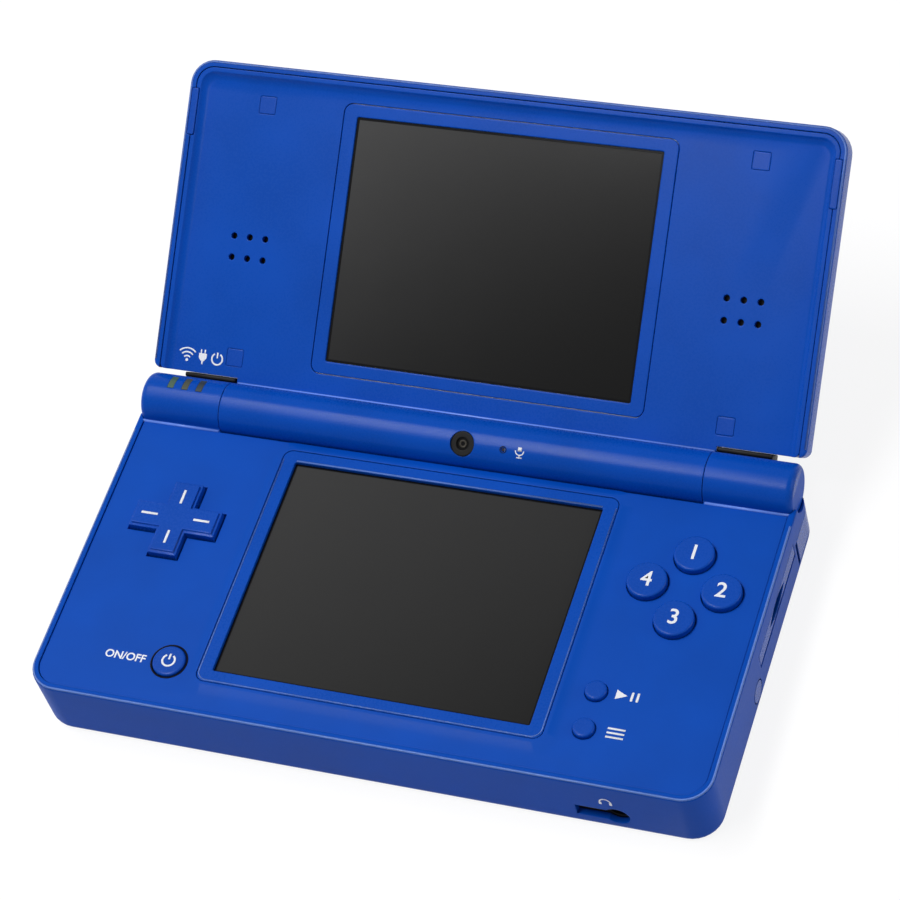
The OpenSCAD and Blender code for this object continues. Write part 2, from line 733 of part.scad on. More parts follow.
module face_button(i) {
  color(deep_blue) translate([keys_at[0] + key_offsets[i][0], keys_at[1] + key_offsets[i][1], flange_low])
    turned_button(key_r, face_z + key_h, key_r + 0.8);
}

module button_north() { face_button(0); }
module button_east() { face_button(1); }
module button_south() { face_button(2); }
module button_west() { face_button(3); }

module start_button() {
  color(deep_blue) translate([start_at[0], start_at[1], flange_low])
    turned_button(mini_r, face_z + mini_h, mini_r + 0.8);
}

module select_button() {
  color(deep_blue) translate([select_at[0], select_at[1], flange_low])
    turned_button(mini_r, face_z + mini_h, mini_r + 0.8);
}

module power_button() {
  color(deep_blue) translate([power_at[0], power_at[1], flange_low])
    turned_button(power_r, face_z + 0.5, power_r + 0.9);
}

// Volume keys: a rounded bar through the wall with a flange behind it
module volume_key(s) {
  y = front_y + volume_y + s * volume_pitch / 2;
  color(deep_blue) {
    translate([-side_x - 0.3, y, volume_z]) rotate([0, 90, 0]) linear_extrude(wall + 0.5)
      rounded(volume_h, volume_w, 1);
    translate([-side_x + wall + 0.1, y, volume_z]) rotate([0, 90, 0]) linear_extrude(0.7)
      rounded(volume_h + 1, volume_w + 1, 1);
  }
}

module volume_up() { volume_key(1); }
module volume_down() { volume_key(-1); }

// Shoulder button: a shell wrapped round the back corner, on an upright pin
module shoulder(s) {
  color(deep_blue) scale([s, 1, 1]) translate([0, 0, shoulder_z]) difference() {
    union() {
      linear_extrude(shoulder_h) intersection() {
        difference() {
          translate([0, plan_y]) rounded(body_w, plan_d, corner_r);
          translate([0, plan_y]) rounded(body_w - 2 * shoulder_t, plan_d - 2 * shoulder_t, corner_r - shoulder_t);
        }
        translate([side_x - shoulder_w, back_y - shoulder_d]) square([shoulder_w + 1, shoulder_d + 1]);
      }
      // Pivot eye, and the nub that meets the switch
      translate([shoulder_pin_at[0], shoulder_pin_at[1], 0]) cylinder(r = 1.6, h = shoulder_h - 0.2);
      block([side_x - 9.5, back_y - 4.6, 0.3], [side_x - 6.5, back_y - 1, shoulder_h - 1]);
    }
    translate([shoulder_pin_at[0], shoulder_pin_at[1], -1]) cylinder(r = shoulder_pin_r + run_fit, h = shoulder_h + 2);
  }
}

module shoulder_left() { shoulder(-1); }
module shoulder_right() { shoulder(1); }

// Cover of the memory card slot, with a lens-shaped finger notch
module memory_cover() {
  mid_z = (cover_pin_z + cover_top) / 2 - 0.1;
  notch_w = 10.3;
  notch_h = 2.6;
  notch_r = (notch_w * notch_w / 4 + notch_h * notch_h / 4) / notch_h;
  color(shell_blue) translate([side_x, memory_at_y, 0]) difference() {
    union() {
      block([-1, -cover_w / 2, cover_pin_z], [0, cover_w / 2, cover_top]);
      translate([-0.6, cover_w / 2, cover_pin_z]) rotate([90, 0, 0]) cylinder(r = 0.6, h = cover_w);
    }
    translate([-3, 0, mid_z]) rotate([90, 0, 90]) linear_extrude(5) intersection() {
      translate([0, notch_r - notch_h / 2]) circle(notch_r, $fn = 96);
      translate([0, notch_h / 2 - notch_r]) circle(notch_r, $fn = 96);
    }
  }
}

// Stylus, parked in its sleeve: a barrel, a fine tip and a flush head
module stylus() {
  tip = 6;
  color(shell_blue) translate([side_x, stylus_at_y, stylus_z]) rotate([0, -90, 0]) rotate_extrude()
    polygon([[0, 0], [stylus_r, 0], [stylus_r, stylus_len - tip], [0.7, stylus_len - 0.6],
             [0.45, stylus_len], [0, stylus_len]]);
}

// The lid's pieces, swung from closed to open about the hinge
module on_lid() {
  translate([0, hinge_y, hinge_z]) rotate([-lid_open, 0, 0]) children();
}

module web_profile() {
  // Profile across the hinge: barrel and the neck that joins it to the lid's back
  circle(hinge_r);
  polygon([[0.5, hinge_r - 0.04], [-lid_heel - 1.6, lid_top - 0.02], [-lid_heel - 1.6, lid_plate_top + 0.1],
           [-3.4, lid_plate_top + 0.1]]);
}

module lid_shell() {
  color(shell_blue) on_lid() difference() {
    union() {
      difference() {
        soft_slab(lid_w, -lid_len, -lid_heel, lid_corner_r, 1.6, lid_rim, lid_top, 0.4, lid_edge_r);
        // Seat of the face plate, open towards the hinge
        translate([0, -lid_len / 2 + 10, 0])
          slab(2 * lid_inner_x, lid_len - 2 * wall + 20, lid_corner_r - wall, 0, lid_plate_top + eps);
        // Room behind it
        translate([0, -(lid_len + lid_heel) / 2, 0])
          slab(2 * lid_inner_x, lid_len - lid_heel - 2 * wall, lid_corner_r - wall, lid_plate_top - eps, lid_skin);
      }
      translate([-barrel_w / 2, 0, 0]) rotate([90, 0, 90]) linear_extrude(barrel_w) web_profile();
      for (s = [-1, 1], v = [plug_low, plug_high])
        translate([s * plug_x, -v, lid_plate_top + 0.1]) cylinder(r = 1.9, h = lid_top - lid_plate_top - 0.6);
    }
    // Hollow of the barrel and its end bores
    rod_x(barrel_bore_r, -barrel_w / 2 + plug_len, barrel_w / 2 - plug_len, 0, 0);
    rod_x(shaft_r + run_fit, 0, barrel_w / 2 + 1, 0, 0);
    rod_x(sleeve_r + run_fit, -barrel_w / 2 - 1, 0, 0, 0);
    // Camera, microphone and outer camera
    translate([camera_x, 0, -hinge_r - 1]) cylinder(r = camera_r + 0.1, h = hinge_r);
    translate([mic_x, 0, -hinge_r - 1]) cylinder(r = 0.45, h = hinge_r);
    translate([outer_camera_at[0], -outer_camera_at[1], 0]) cylinder(r = outer_lens_r + 0.1, h = lid_top + 1);
    for (s = [-1, 1], v = [plug_low, plug_high])
      translate([s * plug_x, -v, 0]) cylinder(r = lid_screw_r, h = lid_skin + 0.2);
    bumper_blocks(0.08);
  }
}

module bumper_blocks(grow) {
  for (s = [-1, 1])
    translate([s * (lid_inner_x - 0.1), -bumper_v, 0])
      slab(bumper_w + 2 * grow, bumper_len + 2 * grow, 0.3, lid_rim - 0.15 - grow * 10, lid_rim + 1.3 + grow);
}

// Lid face: a tray with a soft border that is open towards the hinge
module lid_face() {
  face_w = 2 * (lid_inner_x - seam);
  top_v = lid_len - wall - seam;
  low = lid_rim + 0.15;
  color(shell_blue) on_lid() difference() {
    union() {
      translate([0, -(top_v + lid_heel) / 2, 0])
        slab(face_w, top_v - lid_heel, 1, low, lid_plate_top);
      block([-barrel_w / 2, -lid_heel - 2, low], [barrel_w / 2, -hinge_r - eps, lid_plate_top]);
    }
    // Free corners
    for (s = [-1, 1]) scale([s, 1, 1]) difference() {
      r = lid_corner_r - wall - seam;
      block([face_w / 2 - r, -top_v - 1, 0], [face_w / 2 + 1, -top_v + r, lid_top]);
      translate([face_w / 2 - r, -top_v + r, 0]) cylinder(r = r, h = lid_top);
    }
    // Recess with sloping sides
    hull() {
      translate([0, -(top_v - 12.3) / 2, 0])
        slab(face_w - 4.6, top_v + 7.7, 2, lid_floor - 0.01, lid_floor, $fn = 32);
      translate([0, -(top_v - 10.7) / 2, 0])
        slab(face_w - 1.4, top_v + 9.3, 3, lid_rim - 0.1, lid_rim, $fn = 32);
    }
    // Screen, speakers, screw plugs
    translate([0, -upper_v, 0]) slab(frame_w + 2 * seam, frame_d + 2 * seam, frame_r + seam, 0, lid_top);
    for (s = [-1, 1], i = [-1:1], j = [-0.5, 0.5])
      translate([s * speaker_x + i * 3.4, -speaker_v + j * 4.3, 0]) cylinder(r = 0.66, h = lid_top, $fn = 24);
    for (s = [-1, 1], v = [plug_low, plug_high]) translate([s * plug_x, -v, 0]) {
      slab(plug_size + 0.1, plug_size + 0.1, 0.35, 0, lid_floor + 0.6);
      cylinder(r = lid_screw_r + 0.1, h = lid_top);
    }
    bumper_blocks(0.08);
  }
}

module upper_frame() {
  color(shell_blue) on_lid() translate([0, -upper_v, 0])
    ring_slab(frame_w, frame_d, frame_r, window_w, window_d, 0.4, lid_floor, lid_plate_top);
}

module upper_glass() {
  color(glass_grey) on_lid() translate([0, -upper_v, 0])
    slab(window_w - 0.1, window_d - 0.1, 0.35, lid_floor + 0.35, lid_plate_top);
}

module upper_display() {
  color(metal) on_lid() translate([0, -upper_v, 0])
    slab(frame_w + 1, frame_d + 1, 1, lid_plate_top + eps, lid_skin - eps);
}

module speaker(s) {
  color(dark) on_lid() translate([s * speaker_x, -speaker_v, 0]) difference() {
    slab(speaker_w, speaker_d, 4, lid_plate_top + eps, lid_skin - eps);
    slab(speaker_w - 4, speaker_d - 10, 3, lid_plate_top - 1, lid_plate_top + 0.4);
  }
}

module speaker_left() { speaker(-1); }
module speaker_right() { speaker(1); }

module screw_plugs() {
  color(deep_blue) on_lid() for (s = [-1, 1], v = [plug_low, plug_high])
    translate([s * plug_x, -v, 0]) slab(plug_size, plug_size, 0.3, lid_floor - 0.05, lid_floor + 0.25);
}

module lid_screws() {
  color(metal) on_lid() for (s = [-1, 1], v = [plug_low, plug_high]) translate([s * plug_x, -v, 0]) {
    translate([0, 0, lid_floor + 0.3]) cylinder(r = 1.3, h = 0.28);
    translate([0, 0, lid_floor + 0.4]) cylinder(r = lid_screw_r - 0.02, h = lid_skin - lid_floor - 0.3);
  }
}

module rim_bumpers() {
  color(deep_blue) on_lid() bumper_blocks(0);
}

// Camera in the barrel, facing the way the screen faces
module inner_camera() {
  color(dark) on_lid() translate([camera_x, 0, -hinge_r + 0.75]) cylinder(r = camera_r - 0.1, h = 3);
}

module camera_ring() {
  color(dark) on_lid() translate([camera_x, 0, -hinge_r + 0.35]) difference() {
    cylinder(r = camera_r, h = 0.38);
    translate([0, 0, -1]) cylinder(r = 1.3, h = 3);
  }
}

module microphone() {
  color(metal) on_lid() translate([mic_x, 0, -barrel_bore_r + 0.35]) cylinder(r = 1.5, h = 1.5);
}

module outer_camera() {
  color(dark) on_lid() translate([outer_camera_at[0], -outer_camera_at[1], 0])
    slab(7, 7, 1, lid_plate_top + eps, lid_skin - eps);
}

module outer_lens() {
  color(dark) on_lid() translate([outer_camera_at[0], -outer_camera_at[1], lid_skin])
    cylinder(r = outer_lens_r, h = lid_top - lid_skin - 0.1);
}

// The lid's ribbon, rolled up where it passes through the hollow pivot
module hinge_ribbon() {
  color([0.55, 0.35, 0.15]) on_lid()
    rod_x(ribbon_r, -knuckle_x - plug_in, -knuckle_x + plug_len + 4, 0, 0);
}

base_shell();
base_face();
lower_frame();
touch_glass();
lower_display();
main_board();
shield_can();
battery();
battery_cover();
cover_screws();
base_screws();
card_socket();
memory_socket();
audio_socket();
power_inlet();
strap_pin();
stylus_sleeve();
pad_membrane();
pad_post();
key_membrane();
mini_membranes();
status_lights();
hinge_cartridge();
hinge_sleeve();
shoulder_pins();
side_switches();
pad_ball();
direction_pad();
button_north();
button_east();
button_south();
button_west();
start_button();
select_button();
power_button();
volume_up();
volume_down();
shoulder_left();
shoulder_right();
memory_cover();
stylus();
lid_shell();
lid_face();
upper_frame();
upper_glass();
upper_display();
speaker_left();
speaker_right();
screw_plugs();
lid_screws();
rim_bumpers();
inner_camera();
camera_ring();
microphone();
outer_camera();
outer_lens();
hinge_ribbon();
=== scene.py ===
# %% [markdown]
# # A clamshell handheld console
# The solids of this console come ready-made, in metres, with their hinges and keys already on the right
# bodies. Nothing here moves or reshapes them. This notebook gives them softened edges, finishes, printed
# marks, lamps and a camera.

# %% Load the solids
import json
import math
import bmesh
import bpy
from mathutils import Euler, Matrix, Vector
from mathutils.bvhtree import BVHTree

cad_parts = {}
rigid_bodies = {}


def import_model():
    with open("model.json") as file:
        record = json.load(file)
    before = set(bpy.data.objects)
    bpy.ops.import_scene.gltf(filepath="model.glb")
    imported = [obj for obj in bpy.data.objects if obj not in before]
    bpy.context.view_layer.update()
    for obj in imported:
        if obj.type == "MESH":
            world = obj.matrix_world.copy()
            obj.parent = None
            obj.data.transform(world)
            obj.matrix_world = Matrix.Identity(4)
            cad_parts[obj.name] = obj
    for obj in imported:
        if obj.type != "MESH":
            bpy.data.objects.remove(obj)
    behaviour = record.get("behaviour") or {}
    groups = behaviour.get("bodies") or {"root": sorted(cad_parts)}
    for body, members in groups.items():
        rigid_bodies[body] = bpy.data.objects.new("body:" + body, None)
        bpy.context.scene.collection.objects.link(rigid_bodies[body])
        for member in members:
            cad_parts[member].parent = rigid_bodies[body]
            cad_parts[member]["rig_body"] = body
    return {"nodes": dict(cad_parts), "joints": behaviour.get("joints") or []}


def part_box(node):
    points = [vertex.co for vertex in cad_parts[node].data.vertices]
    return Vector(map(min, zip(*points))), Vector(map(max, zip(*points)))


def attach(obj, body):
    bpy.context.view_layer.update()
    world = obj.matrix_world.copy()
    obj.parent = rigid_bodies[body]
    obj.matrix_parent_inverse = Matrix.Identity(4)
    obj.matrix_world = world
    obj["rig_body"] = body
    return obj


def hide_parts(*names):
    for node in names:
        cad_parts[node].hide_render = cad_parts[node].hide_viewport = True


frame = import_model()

scene = bpy.context.scene
nodes = frame["nodes"]
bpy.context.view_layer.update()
mm = 0.001

# %% [markdown]
# ## Where things are
# The lid stands open, so nothing on it is level. Two directions and a point on the hinge axis describe
# its plane, and one function turns a place on the lid, measured from the hinge, into a place in the room.
# The sizes that later steps build on are measured here from the solids.

# %% The hinge axis, the plane of the open lid and a few sizes, from the frame
hinge = next(joint for joint in frame["joints"] if joint["name"] == "lid_hinge")
hinge_y, hinge_z = hinge["pos_m"][1], hinge["pos_m"][2]
open_turn = math.radians(-hinge["range_deg"][0])
lid_up = Vector((0, -math.cos(open_turn), math.sin(open_turn)))
lid_back = Vector((0, math.sin(open_turn), math.cos(open_turn)))


def in_lid(x, up, back):
    """A point of the open lid, in metres: `up` from the hinge axis along the lid, `back` behind its rim."""
    return Vector((x, hinge_y, hinge_z)) + lid_up * up + lid_back * back


def over_base(x, front, above):
    """A point in metres, `front` of the hinge axis and `above` it."""
    return Vector((x, hinge_y - front, hinge_z + above))


def box_mm(node):
    """The lowest and the highest corner of a solid, in millimetres."""
    low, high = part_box(node)
    return low / mm, high / mm


def middle_mm(node):
    """The middle of a solid, in millimetres."""
    low, high = box_mm(node)
    return (low + high) / 2


base_low, base_high = box_mm("base_shell")
lid_low, lid_high = box_mm("lid_shell")
barrel_radius = hinge_z / mm - lid_low.z
lid_corners = [corner.co - in_lid(0, 0, 0) for corner in nodes["lid_shell"].data.vertices]
lid_length = max(corner.dot(lid_up) for corner in lid_corners) / mm
knuckle_end = box_mm("base_face")[1].x
print("barrel radius:", round(barrel_radius, 2), "mm, lid:", round(lid_length, 2), "mm long")

# %% [markdown]
# ## Camera
# A long lens from above the front right corner, as for a catalogue picture. Its place comes from a camera
# fitted to the corners of both screens and to the rims. Only a trace of shift is left, so that other
# views keep the object in the middle.

# %% Camera
camera_at = (217.613 * mm, -309.884 * mm, 540.544 * mm)
camera_turn = (36.225, 11.199, 17.682)
camera_data = bpy.data.cameras.new("camera")
camera_data.lens = 135.61
camera_data.sensor_width = 36.0
camera_data.shift_x = -0.0121
camera_data.shift_y = -0.0105
camera_data.clip_start = 0.01
camera = bpy.data.objects.new("camera", camera_data)
camera.location = camera_at
camera.rotation_euler = Euler([math.radians(turn) for turn in camera_turn])
scene.collection.objects.link(camera)
scene.camera = camera
scene.view_settings.view_transform = "Standard"
print("camera at", [round(place, 3) for place in camera.location])

# %% [markdown]
# ## Shader sums as Python
# A finish is a network of nodes. Writing `grain * 0.2 + 0.4` is easier to read than wiring two Math
# nodes, so a wire is wrapped in a small class whose operators add those nodes. Every other kind of node
# comes from one method, which takes its type, its settings and what goes into its sockets.


# %% A wire that can be added and multiplied
class Wire:
    """One output of a node. Sums and products with it add Math nodes to the same finish."""

    def __init__(self, finish, socket):
        self.finish = finish
        self.socket = socket

    def math(self, operation, first, second):
        return self.finish.add("ShaderNodeMath", {"operation": operation}, {0: first, 1: second})

    def __add__(self, other):
        return self.math("ADD", self, other)

    def __radd__(self, other):
        return self.math("ADD", other, self)

    def __sub__(self, other):
        return self.math("SUBTRACT", self, other)

    def __rsub__(self, other):
        return self.math("SUBTRACT", other, self)

    def __mul__(self, other):
        return self.math("MULTIPLY", self, other)

    def __rmul__(self, other):
        return self.math("MULTIPLY", other, self)

    def __truediv__(self, other):
        return self.math("DIVIDE", self, other)

    def __rtruediv__(self, other):
        return self.math("DIVIDE", other, self)

    def __abs__(self):
        return self.math("ABSOLUTE", self, 0.0)


# %% A finish: a material and its nodes
class Finish:
    """A material, or the world, under construction. `add` places any node; `close` connects the surface."""

    def __init__(self, name, owners=bpy.data.materials, output="ShaderNodeOutputMaterial"):
        self.owner = owners.new(name)
        self.owner.use_nodes = True
        self.output = output
        self.tree = self.owner.node_tree
        self.tree.nodes.clear()

    def add(self, kind, settings=None, sockets=None, out=0):
        node = self.tree.nodes.new(kind)
        for key, value in (settings or {}).items():
            if key == "stops":
                self.set_stops(node.color_ramp, value)
            else:
                setattr(node, key, value)
        for key, value in (sockets or {}).items():
            if isinstance(value, Wire):
                self.tree.links.new(value.socket, node.inputs[key])
            elif isinstance(value, tuple) and len(value) == 3 and node.inputs[key].type == "RGBA":
                node.inputs[key].default_value = (*value, 1.0)
            else:
                node.inputs[key].default_value = value
        return Wire(self, node.outputs[out])

    def set_stops(self, ramp, stops):
        """Gives a ramp plain steps of colour: each stop is a place from 0 to 1 and a colour."""
        ramp.interpolation = "CONSTANT"
        for spare in list(ramp.elements)[1:]:
            ramp.elements.remove(spare)
        ramp.elements[0].position = stops[0][0]
        ramp.elements[0].color = (*stops[0][1], 1.0)
        for place, colour in stops[1:]:
            ramp.elements.new(place).color = (*colour, 1.0)

    def where(self):
        """The place on the piece, in metres."""
        return self.add("ShaderNodeTexCoord", out="Object")

    def blend(self, factor, first, second):
        """Mixes two colours."""
        sockets = {"Factor": factor, 6: first, 7: second}
        return self.add("ShaderNodeMix", {"data_type": "RGBA"}, sockets, out=2)

    def noise(self, where, size, detail=2.0, rough=0.5):
        """Soft noise whose blotches are about `size` metres across, 0 to 1."""
        sockets = {"Vector": where, "Scale": 1.0 / size, "Detail": detail, "Roughness": rough}
        return self.add("ShaderNodeTexNoise", {}, sockets)

    def dot(self, first, second):
        """How far one vector reaches along another."""
        settings = {"operation": "DOT_PRODUCT"}
        return self.add("ShaderNodeVectorMath", settings, {0: first, 1: second}, out="Value")

    def part(self, vector, axis):
        """The X, Y or Z of a vector."""
        return self.add("ShaderNodeSeparateXYZ", {}, {"Vector": vector}, out=axis)

    def clamp(self, value):
        return self.add("ShaderNodeClamp", {}, {"Value": value, "Min": 0.0, "Max": 1.0})

    def spread(self, noise, gain):
        """Stretches a noise around its middle, so that it reaches nearer to 0 and 1."""
        return self.clamp(noise * gain - (gain - 1.0) / 2)

    def bump(self, height, depth, strength, normal=None):
        """A relief `depth` metres deep, on top of another normal where one is given."""
        sockets = {"Strength": strength, "Distance": depth, "Height": height}
        if normal is not None:
            sockets["Normal"] = normal
        return self.add("ShaderNodeBump", {}, sockets)

    def seen(self):
        """1 where the camera, a mirror or a window looks, 0 for light on its way to something."""
        camera_ray, mirror_ray, window_ray = (self.add("ShaderNodeLightPath", out="Is " + kind + " Ray")
                                              for kind in ("Camera", "Glossy", "Transmission"))
        return self.clamp(camera_ray + mirror_ray + window_ray)

    def done(self, sockets):
        return self.close(self.add("ShaderNodeBsdfPrincipled", {}, sockets))

    def close(self, surface):
        output = self.tree.nodes.new(self.output)
        self.tree.links.new(surface.socket, output.inputs["Surface"])
        return self.owner


def linear(red, green, blue):
    """A colour as a screen shows it, 0 to 255, in the linear values that shaders use."""
    shares = [value / 255.0 for value in (red, green, blue)]
    return tuple(s / 12.92 if s <= 0.04045 else ((s + 0.055) / 1.055) ** 2.4 for s in shares)


def scaled(colour, factor, lift=0.0):
    """A lighter or darker version of a colour."""
    return tuple(min(1.0, value * factor + lift) for value in colour)


# %% [markdown]
# ## Moulded plastic
# Painted, satin plastic isn't one flat colour: it has a very fine orange-peel grain and soft clouds where
# the paint is a little thicker. Its edges carry a painted highlight. The Bevel node finds edges: where its
# softened normal leaves the true one, an edge is near, and that difference lightens the paint there as a
# painted highlight, makes it a little glossier and rounds the highlight.


# %% Moulded plastic finish
def plastic(name, colour, roughness, grain=0.14, edge=0.5, gloss=0.25, matt_below=None):
    """Satin plastic. `grain` is the depth of the orange peel, and `edge` says how strongly a painted
    highlight lightens the edges.
    Below the height `matt_below` the paint is rougher, as on a plate that nobody rubs."""
    cloud_size, grain_size, edge_width, matt_fade = 16 * mm, 0.45 * mm, 0.3 * mm, 0.5 * mm
    f = Finish(name)
    where = f.where()
    clouds = f.noise(where, cloud_size, 3.0)
    fine = f.noise(where, grain_size, 2.0, 0.6)
    soft_normal = f.add("ShaderNodeBevel", {"samples": 6}, {"Radius": edge_width})
    true_normal = f.add("ShaderNodeNewGeometry", out="Normal")
    near_edge = f.clamp((1.0 - f.dot(soft_normal, true_normal)) * 4.0)
    paint = f.blend(f.spread(clouds, 1.6), scaled(colour, 0.90), scaled(colour, 1.10))
    # Painted highlight: near edges the paint turns a paler blue, standing in for the light that edges catch.
    paint = f.blend(near_edge * (clouds * edge + edge * 0.5), paint, scaled(colour, 1.4, 0.02))
    shine = (fine - 0.5) * 0.16 + (clouds - 0.5) * 0.08 + roughness - near_edge * 0.06
    if matt_below is not None:
        shine = shine + f.clamp((matt_below - f.part(where, "Z")) / matt_fade) * 0.17
    relief = f.bump(fine, 0.02 * mm, grain, soft_normal)
    return f.done({"Base Color": paint, "Roughness": f.clamp(shine), "Specular IOR Level": gloss,
                   "Normal": relief})


# %% The plastics of this console
shell_tone = linear(1, 73, 176)
key_tone = linear(1, 70, 172)
# A paler, glossier blue for painted highlights: lines along the rims and beads at the hinge seams.
highlight_tone = linear(104, 142, 232)
surround_foot = 17.5 * mm
finishes = {
    "shell_blue": plastic("satin blue shell", shell_tone, 0.28, gloss=0.1),
    "base_blue": plastic("matt blue base", shell_tone, 0.42, gloss=0.06),
    "plate_blue": plastic("blue base plate", shell_tone, 0.28, gloss=0.1, matt_below=surround_foot),
    "bead_blue": plastic("painted highlight blue", highlight_tone, 0.25, grain=0.05, gloss=0.3),
    "key_blue": plastic("smooth blue key", key_tone, 0.27, grain=0.12, edge=0.7, gloss=0.14),
    "black_plastic": plastic("black moulding", linear(9, 9, 10), 0.45, grain=0.4, edge=0.3, gloss=0.15),
    "rubber": plastic("grey silicone rubber", linear(92, 94, 96), 0.72, grain=0.5, edge=0.15, gloss=0.3),
    "battery_can": plastic("battery sleeve", linear(86, 90, 98), 0.5, grain=0.2, edge=0.2),
}
print("plastics:", sorted(finishes))

# %% [markdown]
# ## Screen glass
# A screen that is off is a dark sheet with a black printed border under the glass. A painted reflection
# makes one corner lighter and fades towards the opposite one, as on a sheet that mirrors a dim room. Border
# and painted reflection are worked out from the place on the sheet alone. Faint dust and wiping marks live
# in the roughness, where they only show in the gloss.


# %% Screen glass finish
def screen_glass(name, reflection_tone, dark_tone, sheet, along, up=(0, 1, 0), border=0.5 * mm, fall=1.0):
    """Dark glass with a painted reflection. `along` points to where it fades out, `up` along the sheet's
    height.
    `border` is the width of the black border, where there is one; `fall` is how steeply the painted
    reflection fades."""
    border_black, border_blur = (0.002, 0.002, 0.003), 0.05 * mm
    f = Finish(name)
    where = f.where()
    low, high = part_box(sheet)
    middle = (low + high) / 2
    from_middle = f.add("ShaderNodeVectorMath", {"operation": "SUBTRACT"}, {0: where, 1: tuple(middle)})
    smears = f.noise(where, 22 * mm, 4.0, 0.6)
    dust = f.noise(where, 0.5 * mm, 1.0)
    run = f.dot(from_middle, tuple(Vector(along).normalized())) / (high - low).length
    # Painted reflection: lighter at one corner, fading towards the other.
    reflection_share = f.clamp(0.5 - run - (smears - 0.5) * 0.12)
    tone = f.blend(reflection_share.math("POWER", reflection_share, fall), dark_tone, reflection_tone)
    if border is not None:
        half_width = (high.x - low.x) / 2
        half_height = max((corner.co - middle).dot(Vector(up)) for corner in nodes[sheet].data.vertices)
        over_side = abs(f.part(from_middle, "X")) - (half_width - border)
        over_end = abs(f.dot(from_middle, tuple(up))) - (half_height - border)
        over = over_side.math("MAXIMUM", over_side, over_end)
        tone = f.blend(f.clamp(over / border_blur), tone, border_black)
    glaze = f.clamp(smears * 0.06 + dust * 0.04 + 0.10)
    relief = f.bump(dust, 0.01 * mm, 0.05)
    return f.done({"Base Color": tone, "Roughness": glaze, "Specular IOR Level": 0.1, "Normal": relief})


finishes["screen_glass"] = screen_glass("touch screen glass", linear(58, 58, 58), linear(30, 30, 30),
                                        "touch_glass", (1, -1, 0))
finishes["upper_glass"] = screen_glass("upper screen glass", linear(74, 74, 74), linear(18, 18, 18),
                                       "upper_glass", (1, -1, -0.7), lid_up, fall=2.0)
finishes["lens_glass"] = screen_glass("camera glass", linear(12, 12, 16), linear(2, 2, 2), "inner_camera",
                                      (1, 0, 0), border=None)
print("with glasses:", len(finishes), "finishes")

# %% [markdown]
# ## Metals
# Tinned sheet, steel screws and pressed frames differ in colour and in how they were worked. Brushing is
# noise stretched a long way in one direction; a Mapping node does the stretching.


# %% Metal finish
def metal(name, colour, roughness, stretch=(1.0, 12.0, 1.0)):
    """Brushed metal with faint stains. `stretch` squeezes the brush strokes along each axis."""
    stroke_size, stain_size = 0.35 * mm, 6 * mm
    f = Finish(name)
    where = f.where()
    along = f.add("ShaderNodeMapping", {}, {"Vector": where, "Scale": stretch})
    brushed = f.noise(along, stroke_size, 2.0)
    stains = f.noise(where, stain_size, 4.0, 0.6)
    tone = f.blend(f.spread(stains, 1.4), scaled(colour, 0.78), colour)
    shine = f.clamp((brushed - 0.5) * 0.22 + (stains - 0.5) * 0.1 + roughness)
    relief = f.bump(brushed, 0.01 * mm, 0.2)
    return f.done({"Base Color": tone, "Metallic": 1.0, "Roughness": shine, "Normal": relief})


finishes["screw_steel"] = metal("machined steel", linear(190, 190, 192), 0.3, (1.0, 1.0, 6.0))
finishes["shield"] = metal("tinned sheet", linear(205, 204, 198), 0.34)
finishes["card_metal"] = metal("nickel-plated sheet", linear(196, 190, 176), 0.3)
finishes["display_frame"] = metal("pressed display frame", linear(178, 180, 184), 0.38)
print("with metals:", len(finishes), "finishes")

# %% [markdown]
# ## Circuit board, ribbon and light strips
# Parts that only show when the case is open still get their own look: green lacquer over copper tracks,
# and an amber ribbon with tracks of its own. The frosted strips on the left knuckle carry light; they are
# dark here.


# %% Board, ribbon and light strips
def board(name):
    """Green lacquer: a Brick texture draws the tracks and a Voronoi texture the round solder pads."""
    f = Finish(name)
    where = f.where()
    tracks = f.add("ShaderNodeTexBrick", {"offset": 0.5}, {
        "Vector": where, "Scale": 260.0, "Mortar Size": 0.06, "Color1": linear(20, 92, 58),
        "Color2": linear(24, 100, 64), "Mortar": linear(40, 128, 82)})
    dots = f.add("ShaderNodeTexVoronoi", {"feature": "F1"}, {"Vector": where, "Scale": 420.0},
                 out="Distance")
    pads = f.clamp((0.18 - dots) * 30.0)
    lacquer = f.blend(pads, tracks, linear(196, 164, 92))
    relief = f.bump(pads, 0.03 * mm, 0.3)
    return f.done({"Base Color": lacquer, "Roughness": 0.32 + pads * 0.1, "Normal": relief})


def ribbon(name):
    """Amber film with parallel tracks, drawn by a Wave texture."""
    f = Finish(name)
    tracks = f.add("ShaderNodeTexWave", {"bands_direction": "Y"},
                   {"Vector": f.where(), "Scale": 700.0, "Distortion": 0.0})
    film = f.blend(tracks, linear(188, 112, 28), linear(150, 78, 18))
    return f.done({"Base Color": film, "Roughness": tracks * 0.1 + 0.25})


def light_strips(name):
    """Three strips in a row along X, each with its own tint when dark."""
    f = Finish(name)
    where = f.where()
    low, high = (corner.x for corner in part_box("status_lights"))
    share = (f.part(where, "X") - low) / (high - low)
    tints = [(0.0, linear(62, 88, 70)), (0.36, linear(64, 68, 52)), (0.7, linear(38, 48, 52))]
    tint = f.add("ShaderNodeValToRGB", {"stops": tints}, {"Fac": share})
    frost = f.noise(where, 0.3 * mm)
    return f.done({"Base Color": tint, "Roughness": frost * 0.2 + 0.3, "Specular IOR Level": 0.4})


finishes["board"] = board("green lacquered board")
finishes["ribbon"] = ribbon("amber ribbon")
finishes["light_pipe"] = light_strips("frosted light strips")
print("finishes:", len(finishes))

